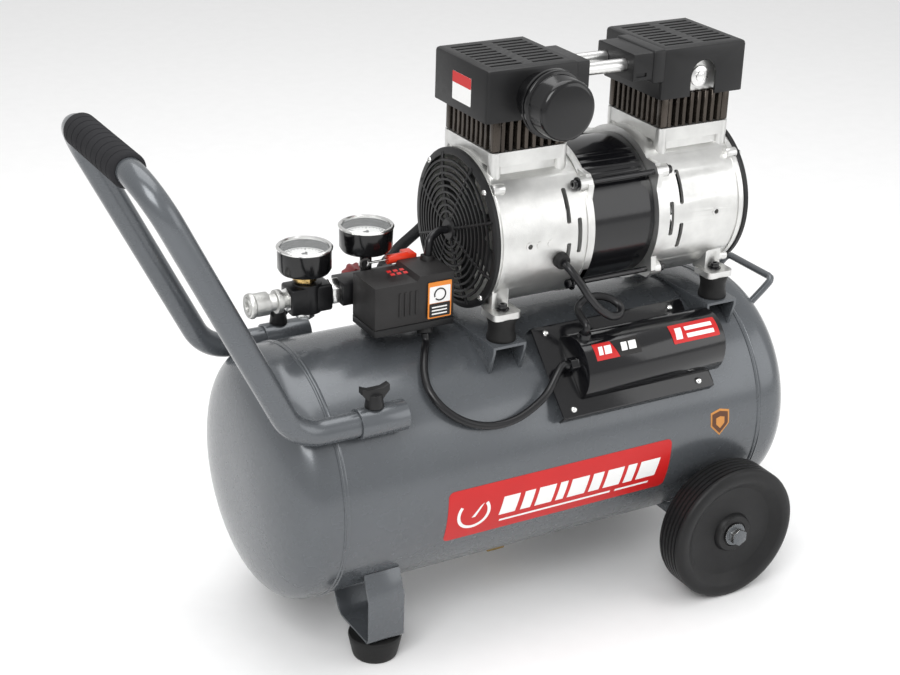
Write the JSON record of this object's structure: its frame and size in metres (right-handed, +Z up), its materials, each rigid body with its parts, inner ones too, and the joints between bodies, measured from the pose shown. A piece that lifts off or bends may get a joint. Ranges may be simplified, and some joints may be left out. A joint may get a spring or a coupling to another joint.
{
  "type": "air compressor",
  "caption": "Portable twin-head oil-free piston air compressor on a horizontal 30 litre tank, with a pull handle, wheels, rubber feet, gauges, regulator and pressure switch.",
  "frame": {"origin": "floor level, at the middle of the length and width", "axes": "+X along the tank from the pull handle to the wheels, +Y across from the pressure-switch side to the back, +Z up"},
  "size_m": [0.7636, 0.357, 0.586],
  "materials": {
    "tank_paint": "semi-gloss blue-grey powder coat",
    "cast_alloy": "sand-cast, blasted",
    "fin_alloy": "dark anodised, bronze sheen",
    "bright_metal": "zinc or nickel plated",
    "black_plastic": "matte black moulding",
    "gloss_plastic": "glossy black moulding",
    "black_metal": "gloss black paint",
    "switch_plastic": "fine-grained charcoal moulding",
    "rubber": "matte black rubber",
    "foam": "closed-cell foam",
    "brass": "machined brass",
    "red_plastic": "dark red moulding",
    "orange_plastic": "red-orange dipped coating",
    "wheel_rubber": "solid black rubber"
  },
  "bodies": {
    "frame": {"air_filter": "gloss_plastic", "air_hose": "rubber", "capacitor": "bright_metal", "capacitor_cover": "black_metal", "capacitor_plate": "black_metal", "carry_handle": "tank_paint", "crankcase_left": "cast_alloy", "crankcase_right": "cast_alloy", "cylinder_left": "fin_alloy", "cylinder_right": "fin_alloy", "drain_cock": "brass", "fan_guard_left": "black_plastic", "fan_guard_right": "black_plastic", "foot_bracket_back": "tank_paint", "foot_bracket_front": "tank_paint", "gauge_outlet": "gloss_plastic", "gauge_tank": "gloss_plastic", "handle_socket_back": "tank_paint", "handle_socket_front": "tank_paint", "head_cover_left": "black_plastic", "head_cover_right": "black_plastic", "manifold": "black_metal", "motor_bracket_left": "tank_paint", "motor_bracket_right": "tank_paint", "motor_cable": "rubber", "quick_coupler": "bright_metal", "regulator": "black_metal", "rubber_foot_back": "rubber", "rubber_foot_front": "rubber", "rubber_mount_left_back": "rubber", "rubber_mount_left_front": "rubber", "rubber_mount_right_back": "rubber", "rubber_mount_right_front": "rubber", "safety_valve": "orange_plastic", "sensor_cable": "rubber", "stator": "black_metal", "supply_cable": "rubber", "switch_base": "switch_plastic", "switch_cover": "switch_plastic", "tank": "tank_paint", "transfer_pipe_back": "bright_metal", "transfer_pipe_front": "bright_metal", "wheel_carrier_back": "tank_paint", "wheel_carrier_front": "tank_paint"},
    "wheel_front": {"wheel_front": "wheel_rubber"},
    "wheel_back": {"wheel_back": "wheel_rubber"},
    "pull_handle": {"handle_tube": "tank_paint", "handle_grip": "foam"},
    "clamp_knob_front": {"clamp_knob_front": "black_plastic"},
    "clamp_knob_back": {"clamp_knob_back": "black_plastic"},
    "rotor": {"rotor_shaft": "bright_metal", "fan_left": "black_plastic", "fan_right": "black_plastic"},
    "piston_left": {"piston_left": "cast_alloy"},
    "piston_right": {"piston_right": "cast_alloy"},
    "regulator_knob": {"regulator_knob": "red_plastic"},
    "coupler_sleeve": {"coupler_sleeve": "bright_metal"},
    "safety_pin": {"safety_pin": "bright_metal"},
    "needle_outlet": {"gauge_needle_outlet": "black_plastic"},
    "needle_tank": {"gauge_needle_tank": "black_plastic"}
  },
  "joints": [
    {"name": "wheel_front_spin", "type": "hinge", "parent": "frame", "child": "wheel_front", "pos_m": [0.25302, -0.153, 0.0758], "axis": [0, 1, 0], "continuous": true},
    {"name": "wheel_back_spin", "type": "hinge", "parent": "frame", "child": "wheel_back", "pos_m": [0.25302, 0.153, 0.0758], "axis": [0, 1, 0], "continuous": true},
    {"name": "handle_slide", "type": "slide", "parent": "frame", "child": "pull_handle", "axis": [-1, 0, 0], "range_m": [-0.015, 0.02]},
    {"name": "clamp_front_turn", "type": "hinge", "parent": "frame", "child": "clamp_knob_front", "pos_m": [-0.15197, -0.10966, 0.28932], "axis": [0, 0, 1], "range_deg": [0, 360]},
    {"name": "clamp_back_turn", "type": "hinge", "parent": "frame", "child": "clamp_knob_back", "pos_m": [-0.15197, 0.10966, 0.28932], "axis": [0, 0, 1], "range_deg": [0, 360]},
    {"name": "rotor_spin", "type": "hinge", "parent": "frame", "child": "rotor", "pos_m": [0.14602, 0, 0.408], "axis": [1, 0, 0], "continuous": true},
    {"name": "piston_left_stroke", "type": "slide", "parent": "frame", "child": "piston_left", "axis": [0, 0, 1], "range_m": [-0.008, 0.008]},
    {"name": "piston_right_stroke", "type": "slide", "parent": "frame", "child": "piston_right", "axis": [0, 0, 1], "range_m": [-0.008, 0.008]},
    {"name": "regulator_turn", "type": "hinge", "parent": "frame", "child": "regulator_knob", "pos_m": [-0.09298, 0.0398, 0.352], "axis": [0, 1, 0], "range_deg": [0, 720]},
    {"name": "sleeve_slide", "type": "slide", "parent": "frame", "child": "coupler_sleeve", "axis": [1, 0, 0], "range_m": [0, 0.005], "stiffness_N_per_m": 500},
    {"name": "safety_pull", "type": "slide", "parent": "frame", "child": "safety_pin", "axis": [-1, 0, 0], "range_m": [0, 0.004], "stiffness_N_per_m": 600},
    {"name": "needle_outlet_sweep", "type": "hinge", "parent": "frame", "child": "needle_outlet", "pos_m": [-0.16098, 0.025, 0.3943], "axis": [0, 0, -1], "range_deg": [0, 270]},
    {"name": "needle_tank_sweep", "type": "hinge", "parent": "frame", "child": "needle_tank", "pos_m": [-0.09398, 0.025, 0.4063], "axis": [0, 0, -1], "range_deg": [0, 270]}
  ]
}
